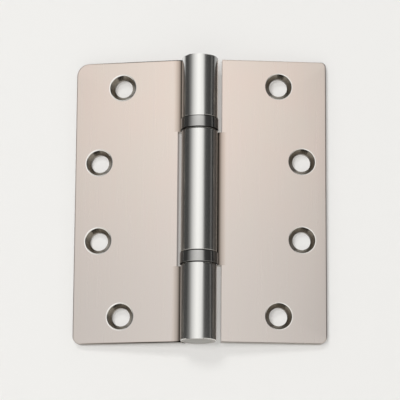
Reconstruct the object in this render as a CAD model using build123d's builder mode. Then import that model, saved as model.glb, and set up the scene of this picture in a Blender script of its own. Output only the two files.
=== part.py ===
"""Ball bearing butt hinge with three knuckles: two leaves, a headed pin and two thrust bearings.

Millimetres. +Z runs up the pin, and the origin is on the pin's axis at the barrel's lower end.
The jamb leaf lies along -X. The door leaf lies along +X, swung a little past flat towards +Y.
"""

import os
from math import acos, asin, cos, degrees, floor, hypot, pi, radians, sin, sqrt

from build123d import *

os.makedirs("parts", exist_ok=True)

# Leaves
leaf_height = 114.3
leaf_reach = 50.8  # pin axis to the outer edge
sheet = 3.4
closed_gap = 1.6  # between the two leaf faces when the hinge is shut
jamb_upper_corner = 5.0
jamb_lower_corner = 3.5
door_upper_corner = 2.0
door_lower_corner = 3.2
edge_bevel = 0.5
rest_turn = 16.0  # degrees that the door leaf stands past flat

# Screw holes, as distances from the pin axis and from the leaf's middle
inner_column = 31.7
outer_column = 41.0
inner_rise = 46.46
outer_rise = 15.875
screw_radius = 3.65
countersink_radius = 5.3
countersink_angle = 82.0

# Barrel
pin_radius = 3.7
pin_clearance = 0.05
bend_reach = 11.3  # pin axis to where a leaf starts to bend round the pin
notch_reach = 9.05  # pin axis to a leaf's edge beside the other leaf's knuckle
end_tab = 30.1  # height of the jamb leaf's lower tab
tab_clearance = 0.4
seam_gap = 0.35  # between a knuckle's rolled end and its own leaf
knuckle_bevel = 0.4
head_radius = 5.1
head_thickness = 1.5
head_crown = 0.35
head_bevel = 1.0
head_clearance = 0.05
plug_stem = 6.0
pin_foot_gap = 0.5  # between the plug's stem and the pin's foot

# Thrust bearings
bearing_height = 5.0
cup_radius = 7.5
cup_wall = 0.65
cup_bevel = 0.3
cup_clearance = 0.2  # under the cup's skirt and round the lower race
race_bore_clearance = 0.3
ball_radius = 1.5
ball_circle = 5.3
ball_clearance = 0.05
ball_sides = 8  # a ball is a bevelled prism, which keeps these many hidden pieces light

# Section of a rolled leaf, worked out in its own frame: u away from the pin, v towards the back
bore_radius = pin_radius + pin_clearance
barrel_radius = bore_radius + sheet
front_v = closed_gap / 2
middle_v = front_v + sheet / 2
curl_middle = bore_radius + sheet / 2
swage_middle = (bend_reach**2 - curl_middle**2 + middle_v**2) / (2 * (curl_middle - middle_v))
bend_angle = degrees(acos((middle_v + swage_middle) / (curl_middle + swage_middle)))
swage_centre = (bend_reach, middle_v + swage_middle)
front_swage = swage_middle + sheet / 2
back_swage = swage_middle - sheet / 2

# Heights along the pin
upper_split = leaf_height - end_tab
upper_knuckle_foot = upper_split + bearing_height
middle_knuckle_foot = end_tab + bearing_height
pocket_radius = cup_radius + tab_clearance

door_frame = Plane(
    origin=(0, 0, 0),
    x_dir=(cos(radians(rest_turn)), sin(radians(rest_turn)), 0),
    z_dir=(0, 0, 1),
)
jamb_frame = Plane(origin=(0, 0, leaf_height), x_dir=(-1, 0, 0), z_dir=(0, 0, -1))


def radial_plane(frame, angle):
    """A plane through the pin's axis: x away from the pin at this angle from the leaf, y along the pin."""
    turned = frame.rotated((0, 0, angle))
    return Plane(origin=frame.origin, x_dir=turned.x_dir, z_dir=-turned.y_dir)


def bend_section(frame, start, inner, outer):
    """A strip along a leaf's S bend, seen along the pin, between two radii of the bend."""
    with BuildSketch(frame.offset(start)) as section:
        with BuildLine():
            near = CenterArc(swage_centre, inner, -90 - bend_angle, bend_angle)
            far = CenterArc(swage_centre, outer, -90 - bend_angle, bend_angle)
            Line(near @ 0, far @ 0)
            Line(near @ 1, far @ 1)
        make_face()
    return section.sketch


def plate_outline(frame, tabs, corners):
    """The flat of a leaf, seen from its front: it steps back beside the tabs of the other leaf."""
    face = Plane(origin=frame.from_local_coords((0, front_v, 0)), x_dir=frame.x_dir, z_dir=-frame.y_dir)
    with BuildSketch(face) as outline:
        with Locations((bend_reach, 0)):
            Rectangle(leaf_reach - bend_reach, leaf_height, align=(Align.MIN, Align.MIN))
        edges = [0, *(height for tab in tabs for height in tab), leaf_height]
        for low, high in zip(edges[::2], edges[1::2]):
            if high > low:
                with Locations((notch_reach, low)):
                    Rectangle(bend_reach - notch_reach, high - low, align=(Align.MIN, Align.MIN))
        for end, radius in zip((0, -1), corners):
            outer_corners = outline.vertices().group_by(Axis.X)[-1].sort_by(Axis.Y)
            fillet(outer_corners[end], radius=radius)
    return outline.sketch


def knuckle_bevels(frame, heights):
    """Ring sections that take the sharp corner off each end of a knuckle."""
    start = 90 - bend_angle
    with BuildSketch(radial_plane(frame, start)) as bevels:
        for height, inward in heights:
            with BuildLine():
                Polyline(
                    (barrel_radius - knuckle_bevel, height),
                    (barrel_radius + knuckle_bevel, height),
                    (barrel_radius + knuckle_bevel, height + 2 * inward * knuckle_bevel),
                    close=True,
                )
            make_face()
    return bevels.sketch


def seam_angle():
    """Where the seam opens on the barrel, as an angle from the leaf."""
    reach = curl_middle + swage_middle
    lip = front_swage + seam_gap
    opening = acos((barrel_radius**2 + reach**2 - lip**2) / (2 * barrel_radius * reach))
    return 90 - bend_angle - degrees(opening)


def make_leaf(frame, tabs, knuckles, corners):
    """One leaf of the hinge: a drilled plate whose tabs are bent and rolled into knuckles."""
    pin_axis = Axis(frame.origin, frame.z_dir)
    with BuildPart() as leaf:
        extrude(plate_outline(frame, tabs, corners), amount=-sheet)
        for low, high in tabs:
            extrude(bend_section(frame, low, back_swage, front_swage), amount=high - low)
        rims = []
        for edge in leaf.edges():
            place = frame.to_local_coords(edge.center())
            on_a_face = abs(place.Y - middle_v) > sheet / 2 - edge_bevel / 10
            if on_a_face and place.X > bend_reach + edge_bevel:
                rims.append(edge)
        chamfer(rims, length=edge_bevel)
        for (low, high), (foot, head) in zip(tabs, knuckles):
            with BuildSketch(frame.offset(low)):
                Circle(barrel_radius)
            extrude(amount=high - low)
            with BuildSketch(frame.offset(low)):
                Circle(bore_radius)
            extrude(amount=high - low, mode=Mode.SUBTRACT)
            seam = bend_section(frame, low, front_swage, front_swage + seam_gap)
            extrude(seam, amount=high - low, mode=Mode.SUBTRACT)
            for start, end in ((low, foot), (head, high)):
                if end > start:
                    with BuildSketch(frame.offset(start)):
                        Circle(pocket_radius)
                    extrude(amount=end - start, mode=Mode.SUBTRACT)
            bevels = knuckle_bevels(frame, ((foot, 1), (head, -1)))
            bevel_arc = 360 - (90 - bend_angle) + seam_angle()
            revolve(bevels, axis=pin_axis, revolution_arc=bevel_arc, mode=Mode.SUBTRACT)
        screws = Plane(
            origin=frame.from_local_coords((0, front_v, leaf_height / 2)),
            x_dir=frame.x_dir,
            z_dir=-frame.y_dir,
        )
        with Locations(screws):
            with Locations(
                (inner_column, inner_rise),
                (inner_column, -inner_rise),
                (outer_column, outer_rise),
                (outer_column, -outer_rise),
            ):
                CounterSinkHole(
                    screw_radius,
                    countersink_radius,
                    depth=sheet,
                    counter_sink_angle=countersink_angle,
                )
    return leaf


# Jamb leaf: a knuckle at each end, counterbored for the pin's head and the plug
upper_tab = (0, end_tab - tab_clearance)
lower_tab = (upper_split, leaf_height)
upper_knuckle = (0, leaf_height - upper_knuckle_foot)
jamb_corners = (jamb_upper_corner, jamb_lower_corner)
jamb_roll = make_leaf(jamb_frame, (upper_tab, lower_tab), (upper_knuckle, lower_tab), jamb_corners)
with BuildPart() as jamb_leaf:
    add(jamb_roll.part)
    with BuildSketch(Plane.XY, Plane.XY.offset(leaf_height - head_thickness)):
        Circle(head_radius + head_clearance)
    extrude(amount=head_thickness, mode=Mode.SUBTRACT)

# Door leaf: one knuckle in the middle
door_tab = (end_tab + tab_clearance, upper_split)
door_knuckle = (middle_knuckle_foot, upper_split)
door_corners = (door_lower_corner, door_upper_corner)
door_leaf = make_leaf(door_frame, (door_tab,), (door_knuckle,), door_corners)

# Hinge pin: a plain shaft under a head whose top stands just proud of the barrel
pin_foot = head_thickness + plug_stem + pin_foot_gap
with BuildPart() as hinge_pin:
    with BuildSketch(Plane.XZ):
        with BuildLine():
            Polyline(
                (0, leaf_height),
                (head_radius, leaf_height),
                (head_radius - head_bevel, leaf_height + head_crown),
                (0, leaf_height + head_crown),
                close=True,
            )
        make_face()
        with Locations((0, leaf_height)):
            Rectangle(head_radius, head_thickness, align=(Align.MIN, Align.MAX))
        with Locations((0, pin_foot)):
            Rectangle(
                pin_radius,
                leaf_height - head_thickness - pin_foot,
                align=(Align.MIN, Align.MIN),
            )
    revolve(axis=Axis.Z)

# Bottom plug: a flat head flush with the barrel's end, on a stem up the bore
with BuildPart() as bottom_plug:
    with BuildSketch(Plane.XY):
        Circle(head_radius)
    extrude(amount=head_thickness)
    with BuildSketch(Plane.XY.offset(head_thickness)):
        Circle(pin_radius)
    extrude(amount=plug_stem)

# Sizes inside a bearing, from its foot upwards
race_thickness = bearing_height / 2 - ball_radius - ball_clearance
race_bore = pin_radius + race_bore_clearance
cup_inside = cup_radius - cup_wall
ball_height = bearing_height / 2
ball_count = floor(pi / asin((ball_radius + ball_clearance) / ball_circle))

# A ball's faces all lie as far from its centre, and its corners reach the ball's true radius
bevel_share = 2 - sqrt(2)
corner_reach = hypot(1 / cos(pi / ball_sides), 1 - bevel_share)
ball_face = ball_radius / corner_reach
ball_bevel = bevel_share * ball_face


def make_cup(base):
    """The upper race of a bearing, with a skirt that hides the balls."""
    with BuildPart() as cup:
        with BuildSketch(Plane.XY.offset(base + bearing_height)):
            Circle(cup_radius)
        extrude(amount=cup_clearance - bearing_height)
        chamfer(cup.edges(), length=cup_bevel)
        with BuildSketch(Plane.XY.offset(base)):
            Circle(cup_inside)
        extrude(amount=bearing_height - race_thickness, mode=Mode.SUBTRACT)
        with BuildSketch(Plane.XY.offset(base)):
            Circle(race_bore)
        extrude(amount=bearing_height, mode=Mode.SUBTRACT)
    return cup


def make_race(base):
    """The lower race of a bearing: a flat washer inside the cup's skirt."""
    with BuildPart() as race:
        with BuildSketch(Plane.XY.offset(base)):
            Circle(cup_inside - cup_clearance)
            Circle(race_bore, mode=Mode.SUBTRACT)
        extrude(amount=race_thickness)
    return race


def make_ball(base, index):
    """One ball of a bearing, in its place round the pin."""
    angle = radians(360 * index / ball_count)
    centre = (ball_circle * cos(angle), ball_circle * sin(angle), base + ball_height)
    with BuildPart() as ball:
        with BuildSketch(Plane(origin=centre).offset(-ball_face)):
            RegularPolygon(ball_face, ball_sides, major_radius=False)
        extrude(amount=2 * ball_face)
        rings = ball.edges().group_by(Axis.Z)
        chamfer(rings[0] + rings[-1], length=ball_bevel)
    return ball


pieces = {
    "jamb_leaf": jamb_leaf,
    "door_leaf": door_leaf,
    "hinge_pin": hinge_pin,
    "bottom_plug": bottom_plug,
}
for place, base in (("upper", upper_split), ("lower", end_tab)):
    pieces[f"{place}_bearing_cup"] = make_cup(base)
    pieces[f"{place}_bearing_race"] = make_race(base)
    for index in range(ball_count):
        pieces[f"{place}_ball_{index + 1}"] = make_ball(base, index)

for name, piece in pieces.items():
    piece.part.label = name
    export_step(piece.part, f"parts/{name}.step")
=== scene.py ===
"""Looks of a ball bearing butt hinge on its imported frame. Metres, +Z up the pin, the pin's axis on Z."""

import math

import bmesh
import bpy
from mathutils import Matrix, Vector


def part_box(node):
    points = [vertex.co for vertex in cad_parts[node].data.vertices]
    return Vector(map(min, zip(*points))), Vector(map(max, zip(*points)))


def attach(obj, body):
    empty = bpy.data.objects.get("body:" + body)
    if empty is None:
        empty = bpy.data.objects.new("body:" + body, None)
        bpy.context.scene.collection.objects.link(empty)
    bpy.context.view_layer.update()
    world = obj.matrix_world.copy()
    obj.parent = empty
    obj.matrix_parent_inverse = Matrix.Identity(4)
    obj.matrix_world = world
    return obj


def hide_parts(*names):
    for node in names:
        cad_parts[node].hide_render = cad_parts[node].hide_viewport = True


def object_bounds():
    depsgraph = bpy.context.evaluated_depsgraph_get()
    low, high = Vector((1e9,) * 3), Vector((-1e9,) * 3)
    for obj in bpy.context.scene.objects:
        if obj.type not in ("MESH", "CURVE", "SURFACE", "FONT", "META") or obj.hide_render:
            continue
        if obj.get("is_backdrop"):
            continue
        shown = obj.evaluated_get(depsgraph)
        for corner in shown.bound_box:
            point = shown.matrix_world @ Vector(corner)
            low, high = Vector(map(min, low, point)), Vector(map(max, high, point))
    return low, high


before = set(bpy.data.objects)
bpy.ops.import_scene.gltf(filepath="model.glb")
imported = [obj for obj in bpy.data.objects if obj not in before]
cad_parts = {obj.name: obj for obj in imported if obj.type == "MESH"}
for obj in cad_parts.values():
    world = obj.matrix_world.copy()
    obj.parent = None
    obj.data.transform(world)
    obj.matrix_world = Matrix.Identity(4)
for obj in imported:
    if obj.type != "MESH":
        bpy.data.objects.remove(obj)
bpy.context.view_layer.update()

MM = 0.001

# Leaves, in millimetres from the pin's axis and from the leaf's middle
LEAF_HEIGHT = 114.3
DOOR_TURN = 16.0  # degrees that the door leaf stands past flat
FRONT_FACE = 0.8
SCREW_HOLES = ((31.7, 46.46), (31.7, -46.46), (41.0, 15.875), (41.0, -15.875))
COUNTERSINK_RADIUS = 5.3
RIM_ROUNDING = 0.3  # polished edge round each countersink
KNUCKLE_ROUNDING = 0.135
BARREL_RADIUS = 7.15
BEND_REACH = 11.5  # the leaf starts to bend in to the barrel here
SHEARED_FROM = 14.0  # cut edges farther from the pin than this show bare steel

# How a leaf's faces and edges are told apart, with distances in millimetres
JOIN_DISTANCE = 0.002
CLEAN_DISTANCE = 0.001
RIM_MARGIN = 0.05
BARREL_MARGIN = 0.03
LEVEL_MARGIN = 0.01
BEND_FACING = -0.3  # a bend's points look forward by more than this
SQUARE_ON = 0.9  # least share of a normal along an axis where a face looks along it
SIDE_ON = 0.2  # most share where a face stands across it
PLATED, COUNTERSUNK, SHEARED, BURNISHED = range(4)  # places of the finishes on a leaf

# Pin, plug and bearings, in millimetres
PIN_RADIUS = 3.7
HEAD_RADIUS = 5.1
HEAD_THICKNESS = 1.5
HEAD_ROUNDING = 0.9
EDGE_ROUNDING = 0.15
CUP_WALL = 0.65
CUP_ROUNDING = 0.45
RACE_THICKNESS = 0.95
RACE_BORE = 4.0
GROOVE_DEPTH = 0.25
BALL_RADIUS = 1.5
BALL_CIRCLE = 5.3
BALL_COUNT = 10

# Fineness of the meshes, with angles in degrees
TURNED_STEPS = 128
CORNER_STEPS = 5
BEVEL_STEPS = 3
BALL_SEGMENTS, BALL_RINGS = 32, 16
ON_AXIS = 1e-6  # millimetres
EDGE_SLOPE = 0.15  # a turned face that leans more than this belongs to a rounded edge
FLAT_ANGLE = 0.3  # faces that meet at less than this become one
SMOOTH_ANGLE = 47.0  # bevels shade as roundings
HOLE_SMOOTH_ANGLE = 25.0  # the foot of a countersink stays crisp
STRAIGHT_ANGLE = 179.0  # a quad with a straight corner is cut through that corner
FLATS_WEIGHT = 100

# Stage and light, in metres
MIDDLE = Vector((0, 0, LEAF_HEIGHT / 2 * MM))
FLOOR_HEIGHT = -0.6
FLOOR_SIZE = (8.0, 8.0)
CEILING_HEIGHT = 0.6
CEILING_SIZE = (0.9, 0.9)
LOW_CARD_Y, LOW_CARD_HEIGHT = -0.02, -0.25  # a little in front of the pin and below the barrel
LOW_CARD_SIZE = (0.27, 0.27)
TABLE_TURN = 8.0  # degrees; the hinge lies on the outer back edges of its two leaves
TABLE_DEPTH = 11.6  # millimetres behind the pin
TABLE_SHIFT = 0.001  # to the left
TABLE_SIZE = (0.7, 0.8)
WORLD_FILL, FLOOR_GLOW, TABLE_GLOW, CARD_GLOW = 0.36, 0.85, 0.33, 1.0
TENT_RADIUS = 0.45
TENT_STEPS = 96
TENT_PALE_BELOW, TENT_DARK_ABOVE = -0.08, 0.04
TENT_PALE_TONE = "D8D6D2"
TENT_RISE_FROM, TENT_RISE_TO = 0.05, 0.25  # the tent's cloth glows more towards its top
TENT_LOW_GLOW, TENT_HIGH_GLOW = 1.14, 1.27
TENT_FADE_FROM, TENT_FADE_TO = 0.32, 0.5  # and fades under the ceiling
TENT_FADED = 0.5
TENT_TONES = (  # azimuth in degrees and grey level
    (-180, "A8"), (-158, "64"), (-140, "E4"), (-108, "CC"), (-101, "A0"), (-94, "42"), (-64, "42"),
    (-48, "80"), (-28, "D0"), (-10, "F0"), (4, "FC"), (16, "F2"), (26, "EA"), (35, "CC"), (43, "72"),
    (51, "46"), (85, "36"), (92, "7C"), (99, "28"), (108, "28"), (124, "98"), (140, "A8"), (158, "90"),
    (180, "A8"),
)

NOISE_LOW, NOISE_HIGH = 0.3, 0.7  # a noise texture seldom leaves this range


def linear(hex_colour):
    """An sRGB hex colour as linear red, green, blue and alpha."""
    channels = [int(hex_colour[i : i + 2], 16) / 255 for i in (0, 2, 4)]
    return [c / 12.92 if c <= 0.04045 else ((c + 0.055) / 1.055) ** 2.4 for c in channels] + [1.0]


def add_node(tree, kind, settings=None, inputs=None):
    """Adds a node with its settings; an input is a plain value or another node's output."""
    node = tree.nodes.new(kind)
    for name, value in (settings or {}).items():
        setattr(node, name, value)
    for name, value in (inputs or {}).items():
        if isinstance(value, bpy.types.NodeSocket):
            tree.links.new(value, node.inputs[name])
        else:
            node.inputs[name].default_value = value
    return node


def metal_material(name):
    """A bare metal with its shader, as (material, tree, shader)."""
    material = bpy.data.materials.new(name)
    material.use_nodes = True
    shader = material.node_tree.nodes["Principled BSDF"]
    shader.inputs["Metallic"].default_value = 1.0
    return material, material.node_tree, shader


def stage_material(name):
    """A material of the stage with no nodes yet, as (material, tree)."""
    material = bpy.data.materials.new(name)
    material.use_nodes = True
    material.node_tree.nodes.clear()
    return material, material.node_tree


def satin_nickel():
    """Nickel plated sheet steel, brushed up and down the leaf; the rolled barrel has a smoother polish, and
    its cooler, brighter colour is a painted sheen for its whiter reflection.

    The eye sees a warm, slightly pink metal with soft reflections, faint upright grain and slow changes of
    tone, and a cooler, clearer shine on the barrel. Painted shade darkens and greys the leaf towards its foot
    and darkens the crease where the leaf bends in to the barrel.
    """
    grain_width, grain_length = 0.45, 40.0  # drawn coarser than the real 0.05 mm grain, so that it shows
    grain_share = 0.032
    grain_depth, grain_strength = 0.05, 0.008
    patch_width = 17.0
    patch_tones = ((0.35, "EBDBD0"), (0.65, "E9DCD1"))
    # Painted shade: the first tone darkens and greys the leaf towards its foot. Painted sheen: the second
    # gives the barrel a cooler, brighter colour for its whiter reflection.
    foot_shade_tone, barrel_sheen_tone = "DAD1CA", "E6E5E1"
    buffed_and_sheen_inside, buffed_and_sheen_outside = 7.16, 7.2
    leaf_smoothest, leaf_roughest, barrel_roughness = 0.272, 0.292, 0.19
    crease_shade_depth = 0.4  # painted shade darkens the crease where the leaf bends in to the barrel
    crease_shade_first, crease_shade_last = "FFFFFF", "141312"
    crease_shade_tones = ((0.12, "E8E5E2"), (0.45, "BCB8B4"), (0.7, "7A7671"), (0.85, "3C3A38"))
    material, tree, shader = metal_material("satin_nickel_plated_steel")
    place = add_node(tree, "ShaderNodeTexCoord").outputs["Object"]
    along = add_node(tree, "ShaderNodeMapping", inputs={
        "Vector": place,
        "Scale": (1 / (grain_width * MM), 1 / (grain_width * MM), 1 / (grain_length * MM)),
    })
    grain = add_node(tree, "ShaderNodeTexNoise", inputs={
        "Vector": along.outputs["Vector"], "Scale": 1.0, "Detail": 3.0, "Roughness": 0.6,
    })
    patches = add_node(tree, "ShaderNodeTexNoise", inputs={
        "Vector": place, "Scale": 1 / (patch_width * MM), "Detail": 1.0, "Roughness": 0.4,
    })
    tone = add_node(tree, "ShaderNodeValToRGB", inputs={"Fac": patches.outputs["Fac"]})
    for stop, (share, patch_tone) in zip(tone.color_ramp.elements, patch_tones):
        stop.position = share
        stop.color = linear(patch_tone)
    parts = add_node(tree, "ShaderNodeSeparateXYZ", inputs={"Vector": place})
    # Painted shade: the leaf's colour runs from the darker foot tone at its foot up to its plate tone at its
    # top
    foot_shade_rise = add_node(tree, "ShaderNodeMapRange", {"interpolation_type": "SMOOTHSTEP"}, {
        "Value": parts.outputs["Z"], "From Min": 0.0, "From Max": LEAF_HEIGHT * MM,
    })
    plated = add_node(tree, "ShaderNodeMix", {"data_type": "RGBA"}, {
        "Factor": foot_shade_rise.outputs["Result"], "A": linear(foot_shade_tone), "B": tone.outputs["Color"],
    })
    grained = add_node(tree, "ShaderNodeMix", {"data_type": "RGBA", "blend_type": "MULTIPLY"}, {
        "Factor": grain_share, "A": plated.outputs["Result"], "B": grain.outputs["Color"],
    })
    flat = add_node(tree, "ShaderNodeVectorMath", {"operation": "MULTIPLY"}, {0: place, 1: (1, 1, 0)})
    reach = add_node(tree, "ShaderNodeVectorMath", {"operation": "LENGTH"}, {0: flat.outputs["Vector"]})
    # The barrel has a smoother polish, and its cooler, brighter colour is a painted sheen for its whiter
    # reflection
    buffed_and_sheen = add_node(tree, "ShaderNodeMapRange", {"interpolation_type": "SMOOTHSTEP"}, {
        "Value": reach.outputs["Value"], "From Min": buffed_and_sheen_inside * MM, "From Max": buffed_and_sheen_outside * MM,
        "To Min": 1.0, "To Max": 0.0,
    })
    # Painted shade: the crease beside the barrel is painted darker the deeper it lies
    depth = add_node(tree, "ShaderNodeAttribute", {"attribute_name": "crease"})
    into_crease_shade = add_node(tree, "ShaderNodeMapRange", inputs={
        "Value": depth.outputs["Fac"], "From Min": 0.0, "From Max": crease_shade_depth,
    })
    crease = add_node(tree, "ShaderNodeValToRGB", inputs={"Fac": into_crease_shade.outputs["Result"]})
    crease.color_ramp.elements[0].color = linear(crease_shade_first)
    crease.color_ramp.elements[1].color = linear(crease_shade_last)
    for share, crease_shade_tone in crease_shade_tones:
        crease.color_ramp.elements.new(share).color = linear(crease_shade_tone)
    polished_and_sheen = add_node(tree, "ShaderNodeMix", {"data_type": "RGBA"}, {
        "Factor": buffed_and_sheen.outputs["Result"], "A": grained.outputs["Result"], "B": linear(barrel_sheen_tone),
    })
    colour = add_node(tree, "ShaderNodeMix", {"data_type": "RGBA", "blend_type": "MULTIPLY"}, {
        "Factor": 1.0, "A": polished_and_sheen.outputs["Result"], "B": crease.outputs["Color"],
    })
    satin = add_node(tree, "ShaderNodeMapRange", inputs={
        "Value": grain.outputs["Fac"], "From Min": NOISE_LOW, "From Max": NOISE_HIGH,
        "To Min": leaf_smoothest, "To Max": leaf_roughest,
    })
    shine = add_node(tree, "ShaderNodeMix", {"data_type": "FLOAT"}, {
        "Factor": buffed_and_sheen.outputs["Result"], "A": satin.outputs["Result"], "B": barrel_roughness,
    })
    bump = add_node(tree, "ShaderNodeBump", inputs={
        "Strength": grain_strength, "Distance": grain_depth * MM, "Height": grain.outputs["Fac"],
    })
    tree.links.new(colour.outputs["Result"], shader.inputs["Base Color"])
    tree.links.new(shine.outputs["Result"], shader.inputs["Roughness"])
    tree.links.new(bump.outputs["Normal"], shader.inputs["Normal"])
    return material


def turned_steel(name, colour, worn_colour, roughness):
    """Steel cut on a lathe: fine rings run round the piece, and the eye sees a band of shine across them."""
    ring_pitch = 0.3  # drawn coarser than a real feed of 0.05 mm, so that it shows
    ring_depth, ring_strength = 0.03, 0.06
    patch_width = 3.0
    smoother, rougher = 0.04, 0.05
    material, tree, shader = metal_material(name)
    place = add_node(tree, "ShaderNodeTexCoord").outputs["Object"]
    parts = add_node(tree, "ShaderNodeSeparateXYZ", inputs={"Vector": place})
    flat = add_node(tree, "ShaderNodeVectorMath", {"operation": "MULTIPLY"}, {0: place, 1: (1, 1, 0)})
    reach = add_node(tree, "ShaderNodeVectorMath", {"operation": "LENGTH"}, {0: flat.outputs["Vector"]})
    section = add_node(tree, "ShaderNodeCombineXYZ", inputs={
        "X": reach.outputs["Value"], "Z": parts.outputs["Z"],
    })
    rings = add_node(tree, "ShaderNodeTexNoise", inputs={
        "Vector": section.outputs["Vector"], "Scale": 1 / (ring_pitch * MM), "Detail": 2.0,
    })
    patches = add_node(tree, "ShaderNodeTexNoise", inputs={
        "Vector": place, "Scale": 1 / (patch_width * MM), "Detail": 2.0,
    })
    tone = add_node(tree, "ShaderNodeMix", {"data_type": "RGBA"}, {
        "Factor": patches.outputs["Fac"], "A": linear(colour), "B": linear(worn_colour),
    })
    shine = add_node(tree, "ShaderNodeMapRange", inputs={
        "Value": rings.outputs["Fac"], "From Min": NOISE_LOW, "From Max": NOISE_HIGH,
        "To Min": roughness - smoother, "To Max": roughness + rougher,
    })
    bump = add_node(tree, "ShaderNodeBump", inputs={
        "Strength": ring_strength, "Distance": ring_depth * MM, "Height": rings.outputs["Fac"],
    })
    tree.links.new(tone.outputs["Result"], shader.inputs["Base Color"])
    tree.links.new(shine.outputs["Result"], shader.inputs["Roughness"])
    tree.links.new(bump.outputs["Normal"], shader.inputs["Normal"])
    return material


def join_scene(piece):
    """Puts a finished object in the scene."""
    bpy.context.scene.collection.objects.link(piece)
    return piece


def plain_mesh(piece):
    """Turns what a piece's modifiers give into its own mesh."""
    bpy.context.view_layer.update()
    made = piece.evaluated_get(bpy.context.evaluated_depsgraph_get())
    mesh = bpy.data.meshes.new_from_object(made)
    piece.modifiers.clear()
    piece.data = mesh
    return piece


def mark_crease(shape, to_leaf):
    """Gives each point of a leaf its depth in the crease beside the barrel, in millimetres; the depth sets
    how dark the painted shade is there.
    """
    crease = shape.verts.layers.float.new("crease")
    for vertex in shape.verts:
        faces_front = (to_leaf @ vertex.normal).y < BEND_FACING
        in_bend = vertex.co.xy.length < BEND_REACH * MM and faces_front
        vertex[crease] = max(0.0, (to_leaf @ vertex.co).y / MM - FRONT_FACE) if in_bend else 0.0


def finish_leaf_faces(shape, to_leaf, from_hole):
    """Gives each face of a leaf its finish: plated, countersunk with painted shade, or sheared."""
    for face in shape.faces:
        face.smooth = True
        centre = face.calc_center_median()
        reach, _ = from_hole(centre)
        facing = abs((to_leaf @ face.normal).y)
        on_edge = facing < SIDE_ON and centre.xy.length > SHEARED_FROM * MM
        on_end = abs(face.normal.z) > SQUARE_ON
        # Countersink walls take the painted shade
        if reach < COUNTERSINK_RADIUS and facing < SQUARE_ON:
            face.material_index = COUNTERSUNK
        elif on_edge or on_end:
            face.material_index = SHEARED
        else:
            face.material_index = PLATED


def crisp_leaf_edges(shape, from_hole):
    """Marks a leaf's crisp edges; returns those round the countersinks and round the knuckles' ends."""
    rims, knuckle_ends = [], []
    for edge in shape.edges:
        ends = [from_hole(vertex.co) for vertex in edge.verts]
        in_hole = all(reach < COUNTERSINK_RADIUS + RIM_MARGIN for reach, _ in ends)
        crisp_from = HOLE_SMOOTH_ANGLE if in_hole else SMOOTH_ANGLE
        edge.smooth = edge.calc_face_angle(0) < math.radians(crisp_from)
        on_rim = all(
            abs(reach - COUNTERSINK_RADIUS) < RIM_MARGIN and abs(depth) < RIM_MARGIN for reach, depth in ends
        )
        corners = [vertex.co / MM for vertex in edge.verts]
        round_barrel = all(abs(corner.xy.length - BARREL_RADIUS) < BARREL_MARGIN for corner in corners)
        on_knuckle_end = round_barrel and abs(corners[0].z - corners[1].z) < LEVEL_MARGIN
        if on_rim and not edge.smooth:
            rims.append(edge)
        elif on_knuckle_end and not edge.smooth:
            knuckle_ends.append(edge)
    return rims, knuckle_ends


def leaf_piece(node, turn, finishes):
    """A leaf from its own solid, as one joined skin whose bevels shade round and whose flats stay flat."""
    mesh = bpy.data.meshes.new(f"{node}_skin")
    shape = bmesh.new()
    shape.from_mesh(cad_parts[node].data)
    bmesh.ops.remove_doubles(shape, verts=shape.verts, dist=JOIN_DISTANCE * MM)
    bmesh.ops.dissolve_limit(
        shape, angle_limit=math.radians(FLAT_ANGLE), verts=shape.verts, edges=shape.edges
    )
    to_leaf = Matrix.Rotation(math.radians(-turn), 3, "Z")
    side = -1 if turn == 0 else 1

    def from_hole(point):
        """How far a point lies from the nearest screw's axis, and how deep it is below the front face."""
        local = (to_leaf @ (point - MIDDLE)) / MM
        reach = min(math.hypot(side * local.x - u, local.z - w) for u, w in SCREW_HOLES)
        return reach, local.y - FRONT_FACE

    mark_crease(shape, to_leaf)
    finish_leaf_faces(shape, to_leaf, from_hole)
    rims, knuckle_ends = crisp_leaf_edges(shape, from_hole)
    for edges, width in ((rims, RIM_ROUNDING), (knuckle_ends, KNUCKLE_ROUNDING)):
        bmesh.ops.bevel(
            shape, geom=edges, offset=width * MM, offset_type="OFFSET", affect="EDGES",
            segments=BEVEL_STEPS, profile=0.5, clamp_overlap=True, material=BURNISHED,
        )
    bmesh.ops.remove_doubles(shape, verts=shape.verts, dist=CLEAN_DISTANCE * MM)
    bmesh.ops.dissolve_degenerate(shape, dist=CLEAN_DISTANCE * MM, edges=shape.edges)
    straight_quads = []
    for face in shape.faces:
        widest = max(corner.calc_angle() for corner in face.loops)
        if len(face.verts) == 4 and widest > math.radians(STRAIGHT_ANGLE):
            straight_quads.append(face)
    bmesh.ops.triangulate(shape, faces=straight_quads, quad_method="BEAUTY")
    shape.to_mesh(mesh)
    shape.free()
    for finish in finishes:
        mesh.materials.append(finish)
    piece = join_scene(bpy.data.objects.new(f"{node}_plate", mesh))
    flats = piece.modifiers.new("flats stay flat", "WEIGHTED_NORMAL")
    flats.keep_sharp = True
    flats.weight = FLATS_WEIGHT
    return plain_mesh(piece)


def rounded_section(corners):
    """The points of a closed section whose corners, given as (radius, height, rounding), are rounded off."""
    points = []
    for index, (radius, height, rounding) in enumerate(corners):
        corner = Vector((radius, height))
        before = Vector(corners[index - 1][:2]) - corner
        after = Vector(corners[(index + 1) % len(corners)][:2]) - corner
        if rounding == 0:
            points.append(corner)
            continue
        start = corner + before.normalized() * rounding
        end = corner + after.normalized() * rounding
        for step in range(CORNER_STEPS + 1):
            t = step / CORNER_STEPS
            points.append(start * (1 - t) ** 2 + corner * 2 * t * (1 - t) + end * t**2)
    return points


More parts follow.
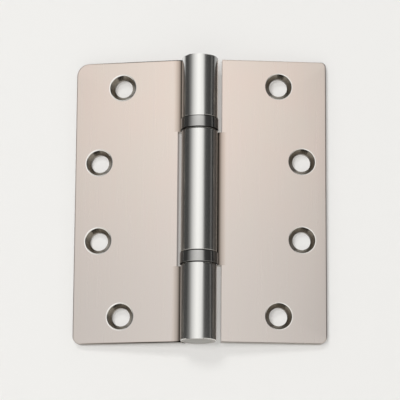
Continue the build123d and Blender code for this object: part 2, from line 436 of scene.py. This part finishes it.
def turned_piece(name, corners, finish, edge_shade=None):
    """A piece turned on the pin's axis from its section; its outer rounded corners may carry a painted shade
    of their own.
    """
    shape = bmesh.new()
    section = rounded_section(corners)
    rings = []
    for point in section:
        if point.x < ON_AXIS:
            rings.append([shape.verts.new((0, 0, point.y * MM))] * TURNED_STEPS)
            continue
        ring = []
        for step in range(TURNED_STEPS):
            angle = 2 * math.pi * step / TURNED_STEPS
            place = Vector((point.x * math.cos(angle), point.x * math.sin(angle), point.y))
            ring.append(shape.verts.new(place * MM))
        rings.append(ring)
    for ring, following in zip(rings, rings[1:] + rings[:1]):
        for step in range(TURNED_STEPS):
            ahead = (step + 1) % TURNED_STEPS
            corner_set = dict.fromkeys((ring[step], ring[ahead], following[ahead], following[step]))
            if len(corner_set) > 2:
                shape.faces.new(corner_set)
    bmesh.ops.recalc_face_normals(shape, faces=shape.faces)
    outer_radius = max(point.x for point in section) * MM
    for face in shape.faces:
        face.smooth = True
        outside = face.calc_center_median().xy.length > outer_radius - CUP_ROUNDING * MM
        # Painted shade: the outer rounded corners take the black edge material
        if edge_shade and outside and abs(face.normal.z) > EDGE_SLOPE:
            face.material_index = 1
    for edge in shape.edges:
        edge.smooth = edge.calc_face_angle(0) < math.radians(SMOOTH_ANGLE)
    mesh = bpy.data.meshes.new(name)
    shape.to_mesh(mesh)
    shape.free()
    mesh.materials.append(finish)
    if edge_shade:
        mesh.materials.append(edge_shade)
    return join_scene(bpy.data.objects.new(name, mesh))


def heights(node):
    """A node's lowest and highest place along the pin, and its outer radius, in millimetres."""
    low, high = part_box(node)
    return low.z / MM, high.z / MM, high.x / MM


def pin_corners():
    """Section of the pin: a plain shaft under a low domed head."""
    foot, top, _ = heights("hinge_pin")
    shoulder = LEAF_HEIGHT - HEAD_THICKNESS
    return (
        (0, foot, 0),
        (PIN_RADIUS, foot, EDGE_ROUNDING),
        (PIN_RADIUS, shoulder, 0),
        (HEAD_RADIUS, shoulder, 0),
        (HEAD_RADIUS, LEAF_HEIGHT + EDGE_ROUNDING, EDGE_ROUNDING),
        (HEAD_RADIUS - HEAD_ROUNDING, top, HEAD_ROUNDING / 2),
        (0, top, 0),
    )


def plug_corners():
    """Section of the plug that closes the barrel's foot."""
    foot, top, radius = heights("bottom_plug")
    return (
        (0, foot, 0),
        (radius, foot, EDGE_ROUNDING),
        (radius, foot + HEAD_THICKNESS, 0),
        (PIN_RADIUS, foot + HEAD_THICKNESS, 0),
        (PIN_RADIUS, top, EDGE_ROUNDING),
        (0, top, 0),
    )


def cup_corners(node):
    """Section of a bearing's cup: a race on top with a skirt round the balls."""
    foot, top, radius = heights(node)
    roof = top - RACE_THICKNESS
    return (
        (RACE_BORE, roof, 0),
        (BALL_CIRCLE - BALL_RADIUS / 2, roof, 0),
        (BALL_CIRCLE, roof + GROOVE_DEPTH, 0),
        (BALL_CIRCLE + BALL_RADIUS / 2, roof, 0),
        (radius - CUP_WALL, roof, 0),
        (radius - CUP_WALL, foot, EDGE_ROUNDING),
        (radius, foot, CUP_ROUNDING),
        (radius, top, CUP_ROUNDING),
        (RACE_BORE, top, EDGE_ROUNDING),
    )


def race_corners(node):
    """Section of a bearing's lower race, with a shallow track for the balls."""
    foot, top, radius = heights(node)
    return (
        (RACE_BORE, foot, EDGE_ROUNDING),
        (radius, foot, EDGE_ROUNDING),
        (radius, top, EDGE_ROUNDING),
        (BALL_CIRCLE + BALL_RADIUS / 2, top, 0),
        (BALL_CIRCLE, top - GROOVE_DEPTH, 0),
        (BALL_CIRCLE - BALL_RADIUS / 2, top, 0),
        (RACE_BORE, top, EDGE_ROUNDING),
    )


def ball_ring_tree():
    """Geometry Nodes for one bearing's balls: spheres stood round a circle about the pin."""
    tree = bpy.data.node_groups.new("ball_ring", "GeometryNodeTree")
    sockets = (
        ("Balls", "NodeSocketInt"),
        ("Circle Radius", "NodeSocketFloat"),
        ("Ball Radius", "NodeSocketFloat"),
        ("Height", "NodeSocketFloat"),
        ("Finish", "NodeSocketMaterial"),
    )
    for name, kind in sockets:
        tree.interface.new_socket(name, in_out="INPUT", socket_type=kind)
    tree.interface.new_socket("Geometry", in_out="OUTPUT", socket_type="NodeSocketGeometry")
    given = add_node(tree, "NodeGroupInput")
    circle = add_node(tree, "GeometryNodeMeshCircle", inputs={
        "Vertices": given.outputs["Balls"], "Radius": given.outputs["Circle Radius"],
    })
    lift = add_node(tree, "ShaderNodeCombineXYZ", inputs={"Z": given.outputs["Height"]})
    raised = add_node(tree, "GeometryNodeSetPosition", inputs={
        "Geometry": circle.outputs["Mesh"], "Offset": lift.outputs["Vector"],
    })
    ball = add_node(tree, "GeometryNodeMeshUVSphere", inputs={
        "Segments": BALL_SEGMENTS, "Rings": BALL_RINGS, "Radius": given.outputs["Ball Radius"],
    })
    rounded = add_node(tree, "GeometryNodeSetShadeSmooth", inputs={"Geometry": ball.outputs["Mesh"]})
    stood = add_node(tree, "GeometryNodeInstanceOnPoints", inputs={
        "Points": raised.outputs["Geometry"], "Instance": rounded.outputs["Geometry"],
    })
    real = add_node(tree, "GeometryNodeRealizeInstances", inputs={"Geometry": stood.outputs["Instances"]})
    finished = add_node(tree, "GeometryNodeSetMaterial", inputs={
        "Geometry": real.outputs["Geometry"], "Material": given.outputs["Finish"],
    })
    add_node(tree, "NodeGroupOutput", inputs={"Geometry": finished.outputs["Geometry"]})
    return tree


def ball_ring(name, tree, height, finish):
    """One bearing's balls as a single mesh."""
    piece = join_scene(bpy.data.objects.new(name, bpy.data.meshes.new(name)))
    maker = piece.modifiers.new("balls", "NODES")
    maker.node_group = tree
    sizes = {
        "Balls": BALL_COUNT,
        "Circle Radius": BALL_CIRCLE * MM,
        "Ball Radius": BALL_RADIUS * MM,
        "Height": height * MM,
        "Finish": finish,
    }
    for socket in tree.interface.items_tree:
        if socket.in_out == "INPUT":
            maker[socket.identifier] = sizes[socket.name]
    return plain_mesh(piece)


def seat(piece, body, slot, *nodes):
    """Gives a piece to its body and hides the CAD nodes that it stands for; its material slot is not used."""
    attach(piece, body)
    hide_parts(*nodes)


# Finishes, each with its colour, its colour where it is worn, and its roughness
nickel = satin_nickel()
# Countersink walls: a dark grey-brown that is painted shade, so that the holes look grey-brown and deep
countersink_painted_shade = turned_steel("countersink_walls_painted_shade", "827B71", "9E978D", 0.22)
# Edges cut by the press: dull, and cooler than the plate
sheared_steel = turned_steel("sheared_steel_edge", "B6B2AD", "A6A29D", 0.42)
# Edges that polishing wears through: a thin bright line round each hole and knuckle
burnished_steel = turned_steel("burnished_steel_rim", "F6F3EE", "ECE9E4", 0.16)
leaf_finishes = (nickel, countersink_painted_shade, sheared_steel, burnished_steel)
# Turned pin: a light head with a soft sheen
pin_steel = turned_steel("bright_turned_steel", "D2D1CD", "C4C3BF", 0.4)
# Turned plug: a flat mid grey disc in the barrel's foot
plug_steel = turned_steel("dull_turned_steel", "A09F9A", "94938E", 0.34)
# Hardened and ground cup: a darker ring than the barrel, with a sharper band of shine
cup_steel = turned_steel("dark_hardened_bearing_steel", "C0BFBC", "B3B2AF", 0.11)
# Painted shade in the joint beside each knuckle: a fine black line above and below the ring
cup_joint_painted_shade = turned_steel("cup_edge_painted_shade", "1C1B1A", "141312", 0.5)
# Ground race: an even, slightly dull grey
race_steel = turned_steel("ground_race_steel", "BDBCB8", "A9A8A5", 0.24)
# Polished balls: clear small reflections
ball_steel = turned_steel("polished_ball_steel", "D6D6D3", "CACAC7", 0.12)

# Pieces
seat(leaf_piece("jamb_leaf", 0, leaf_finishes), "jamb_side", "leaf_nickel", "jamb_leaf")
seat(leaf_piece("door_leaf", DOOR_TURN, leaf_finishes), "door_side", "leaf_nickel", "door_leaf")
seat(turned_piece("pin_shaft", pin_corners(), pin_steel), "jamb_side", "pin_steel", "hinge_pin")
seat(turned_piece("foot_plug", plug_corners(), plug_steel), "jamb_side", "pin_steel", "bottom_plug")
balls = ball_ring_tree()
for place, cup_body, race_body in (("upper", "jamb_side", "door_side"), ("lower", "door_side", "jamb_side")):
    cup = f"{place}_bearing_cup"
    race = f"{place}_bearing_race"
    cup_piece = turned_piece(f"{place}_cup", cup_corners(cup), cup_steel, cup_joint_painted_shade)
    seat(cup_piece, cup_body, "bearing_steel", cup)
    race_piece = turned_piece(f"{place}_race", race_corners(race), race_steel)
    seat(race_piece, race_body, "bearing_steel", race)
    low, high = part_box(f"{place}_ball_1")
    ring = ball_ring(f"{place}_ball_ring", balls, (low.z + high.z) / 2 / MM, ball_steel)
    stood_for = [f"{place}_ball_{index + 1}" for index in range(BALL_COUNT)]
    seat(ring, f"{place}_balls", "ball_steel", *stood_for)


def seen_pale(tree):
    """One where the camera, a reflection or a view through glass looks, and nought for other light."""
    path = add_node(tree, "ShaderNodeLightPath")
    looked_at = add_node(tree, "ShaderNodeMath", {"operation": "ADD"}, {
        0: path.outputs["Is Camera Ray"], 1: path.outputs["Is Glossy Ray"],
    })
    seen = add_node(tree, "ShaderNodeMath", {"operation": "ADD", "use_clamp": True}, {
        0: looked_at.outputs["Value"], 1: path.outputs["Is Transmission Ray"],
    })
    return seen.outputs["Value"]


def board_material(name, colour, glow_share):
    """Plain board that glows in part where it is looked at, takes a shadow, and has no back."""
    material, tree = stage_material(name)
    board = add_node(tree, "ShaderNodeBsdfDiffuse", inputs={"Color": linear(colour)})
    glow = add_node(tree, "ShaderNodeEmission", inputs={"Color": linear(colour), "Strength": 1.0})
    share = add_node(tree, "ShaderNodeMath", {"operation": "MULTIPLY"}, {0: seen_pale(tree), 1: glow_share})
    front = add_node(tree, "ShaderNodeMixShader", inputs={
        "Fac": share.outputs["Value"], 1: board.outputs["BSDF"], 2: glow.outputs["Emission"],
    })
    clear = add_node(tree, "ShaderNodeBsdfTransparent")
    behind = add_node(tree, "ShaderNodeNewGeometry").outputs["Backfacing"]
    whole = add_node(tree, "ShaderNodeMixShader", inputs={
        "Fac": behind, 1: front.outputs["Shader"], 2: clear.outputs["BSDF"],
    })
    add_node(tree, "ShaderNodeOutputMaterial", inputs={"Surface": whole.outputs["Shader"]})
    return material


def tent_material():
    """The inside of a light tent: a soft bright window in front, darker cloth beside it, pale low down."""
    material, tree = stage_material("light_tent")
    place = add_node(tree, "ShaderNodeTexCoord").outputs["Object"]
    parts = add_node(tree, "ShaderNodeSeparateXYZ", inputs={"Vector": place})
    forward = add_node(tree, "ShaderNodeMath", {"operation": "MULTIPLY"}, {0: parts.outputs["Y"], 1: -1.0})
    azimuth = add_node(tree, "ShaderNodeMath", {"operation": "ARCTAN2"}, {
        0: parts.outputs["X"], 1: forward.outputs["Value"],
    })
    round_share = add_node(tree, "ShaderNodeMapRange", inputs={
        "Value": azimuth.outputs["Value"], "From Min": -math.pi, "From Max": math.pi,
    })
    cloth = add_node(tree, "ShaderNodeValToRGB", inputs={"Fac": round_share.outputs["Result"]})
    stops = cloth.color_ramp.elements
    while len(stops) > 1:
        stops.remove(stops[-1])
    for index, (degrees, tone) in enumerate(TENT_TONES):
        stop = stops[0] if index == 0 else stops.new(1.0)
        stop.position = (degrees + 180) / 360
        stop.color = linear(tone * 3)
    above = add_node(tree, "ShaderNodeMapRange", {"interpolation_type": "SMOOTHSTEP"}, {
        "Value": parts.outputs["Z"], "From Min": TENT_PALE_BELOW, "From Max": TENT_DARK_ABOVE,
    })
    pale = add_node(tree, "ShaderNodeMix", {"data_type": "RGBA", "blend_type": "LIGHTEN"}, {
        "Factor": 1.0, "A": cloth.outputs["Color"], "B": linear(TENT_PALE_TONE),
    })
    tone = add_node(tree, "ShaderNodeMix", {"data_type": "RGBA"}, {
        "Factor": above.outputs["Result"], "A": pale.outputs["Result"], "B": cloth.outputs["Color"],
    })
    upwards = add_node(tree, "ShaderNodeMapRange", inputs={
        "Value": parts.outputs["Z"], "From Min": TENT_RISE_FROM, "From Max": TENT_RISE_TO,
        "To Min": TENT_LOW_GLOW, "To Max": TENT_HIGH_GLOW,
    })
    top_edge = add_node(tree, "ShaderNodeMapRange", {"interpolation_type": "SMOOTHSTEP"}, {
        "Value": parts.outputs["Z"], "From Min": TENT_FADE_FROM, "From Max": TENT_FADE_TO,
        "To Min": 1.0, "To Max": TENT_FADED,
    })
    strength = add_node(tree, "ShaderNodeMath", {"operation": "MULTIPLY"}, {
        0: upwards.outputs["Result"], 1: top_edge.outputs["Result"],
    })
    glow = add_node(tree, "ShaderNodeEmission", inputs={
        "Color": tone.outputs["Result"], "Strength": strength.outputs["Value"],
    })
    add_node(tree, "ShaderNodeOutputMaterial", inputs={"Surface": glow.outputs["Emission"]})
    return material


def around(azimuth, distance, height):
    """A place round the pin: azimuth 0 is in front of the hinge, and 90 degrees is to its right."""
    turn = math.radians(azimuth)
    return Vector((math.sin(turn) * distance, -math.cos(turn) * distance, height))


def light_tent():
    """An open cylinder of cloth round the hinge."""
    shape = bmesh.new()
    rings = []
    for height in (FLOOR_HEIGHT, CEILING_HEIGHT):
        rings.append([])
        for step in range(TENT_STEPS):
            rings[-1].append(shape.verts.new(around(360 * step / TENT_STEPS, TENT_RADIUS, height)))
    for step in range(TENT_STEPS):
        ahead = (step + 1) % TENT_STEPS
        shape.faces.new((rings[0][step], rings[0][ahead], rings[1][ahead], rings[1][step]))
    mesh = bpy.data.meshes.new("light_tent")
    shape.to_mesh(mesh)
    shape.free()
    mesh.materials.append(tent_material())
    tent = join_scene(bpy.data.objects.new("light_tent", mesh))
    tent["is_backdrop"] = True
    return tent


def pale_world(colour, fill):
    """A pale surround that the camera and the metal see, with a dimmer fill for everything else."""
    world = bpy.data.worlds.new("pale_studio")
    bpy.context.scene.world = world
    world.use_nodes = True
    tree = world.node_tree
    tree.nodes.clear()
    dim = add_node(tree, "ShaderNodeBackground", inputs={"Color": linear(colour), "Strength": fill})
    pale = add_node(tree, "ShaderNodeBackground", inputs={"Color": linear(colour), "Strength": 1.0})
    choice = add_node(tree, "ShaderNodeMixShader", inputs={
        "Fac": seen_pale(tree), 1: dim.outputs["Background"], 2: pale.outputs["Background"],
    })
    add_node(tree, "ShaderNodeOutputWorld", inputs={"Surface": choice.outputs["Shader"]})


def panel(name, centre, facing, size, finish):
    """A flat rectangle of the stage at a place, turned to face a point."""
    half_width, half_height = size[0] / 2, size[1] / 2
    corners = [(-half_width, -half_height, 0), (half_width, -half_height, 0),
               (half_width, half_height, 0), (-half_width, half_height, 0)]
    mesh = bpy.data.meshes.new(name)
    mesh.from_pydata(corners, [], [(0, 1, 2, 3)])
    mesh.materials.append(finish)
    piece = join_scene(bpy.data.objects.new(name, mesh))
    piece.location = centre
    piece.rotation_euler = (Vector(facing) - Vector(centre)).to_track_quat("Z", "Y").to_euler()
    piece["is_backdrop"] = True
    return piece


def out_of_sight(piece):
    """Leaves a piece of the stage to reflections alone."""
    piece.visible_camera = False
    piece.visible_shadow = False
    piece.visible_diffuse = False


def soft_lamp(name, centre, size, power):
    """A square soft lamp aimed at the hinge; in reflections the light tent stands for it."""
    lamp = bpy.data.lights.new(name, "AREA")
    lamp.shape = "SQUARE"
    lamp.size = size
    lamp.energy = power
    piece = join_scene(bpy.data.objects.new(name, lamp))
    piece.location = centre
    piece.rotation_euler = (MIDDLE - Vector(centre)).to_track_quat("-Z", "Y").to_euler()
    piece.visible_glossy = False


def hinge_camera():
    """The photograph's view: from below and a little to the right of the jamb leaf's face."""
    distance = 0.9
    azimuth, below, roll = 11.09, 12.3, 0.39  # degrees
    pixels_per_mm, image_width = 2.536, 400
    off_centre = (-0.8, 2.2)  # pixels right of and above the picture's middle, where the pin's middle lies
    camera = bpy.data.cameras.new("photo_camera")
    camera.sensor_width = 36.0
    camera.lens = pixels_per_mm * distance / MM * camera.sensor_width / image_width
    camera.clip_start = 0.01
    piece = join_scene(bpy.data.objects.new("photo_camera", camera))
    turn, drop = math.radians(azimuth), math.radians(below)
    back = Vector((math.sin(turn) * math.cos(drop), -math.cos(turn) * math.cos(drop), -math.sin(drop)))
    look = (-back).to_track_quat("-Z", "Y").to_matrix()
    across, up = look.col[0], look.col[1]
    aim = MIDDLE - (across * off_centre[0] + up * off_centre[1]) / pixels_per_mm * MM
    piece.location = aim + back * distance
    piece.rotation_euler = (look @ Matrix.Rotation(math.radians(roll), 3, "Z")).to_euler()
    bpy.context.scene.camera = piece


# Floor, and the table that the hinge lies against
pale_world("F1F1EF", WORLD_FILL)
pale_floor = board_material("pale_floor", "F0EFEC", FLOOR_GLOW)
panel("floor", (0, 0, FLOOR_HEIGHT), (0, 0, 1), FLOOR_SIZE, pale_floor)
table_place = around(180 + TABLE_TURN, TABLE_DEPTH * MM, MIDDLE.z) + around(TABLE_TURN - 90, TABLE_SHIFT, 0)
table_front = table_place + around(TABLE_TURN, 1.0, 0)
pale_table = board_material("pale_table", "F0EFED", TABLE_GLOW)
table = panel("table", table_place, table_front, TABLE_SIZE, pale_table)
table.visible_glossy = False

# Cards and cloth that only reflections see
pale_card = board_material("pale_card", "E4E4E2", CARD_GLOW)
ceiling = panel("ceiling", (0, 0, CEILING_HEIGHT), (0, 0, 0), CEILING_SIZE, pale_card)
dark_card = board_material("dark_card", "343432", CARD_GLOW)
low_card_place = (0, LOW_CARD_Y, LOW_CARD_HEIGHT)
low_card = panel("low_card", low_card_place, (0, LOW_CARD_Y, 0), LOW_CARD_SIZE, dark_card)
out_of_sight(ceiling)
out_of_sight(low_card)
out_of_sight(light_tent())

# Lamps and camera
soft_lamp("key_light", around(azimuth=-1, distance=1.8, height=-0.03), size=0.4, power=12.2)
soft_lamp("top_light", around(azimuth=-4, distance=1.6, height=0.7), size=0.45, power=7.4)
hinge_camera()
bpy.context.scene.view_settings.view_transform = "Standard"

low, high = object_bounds()
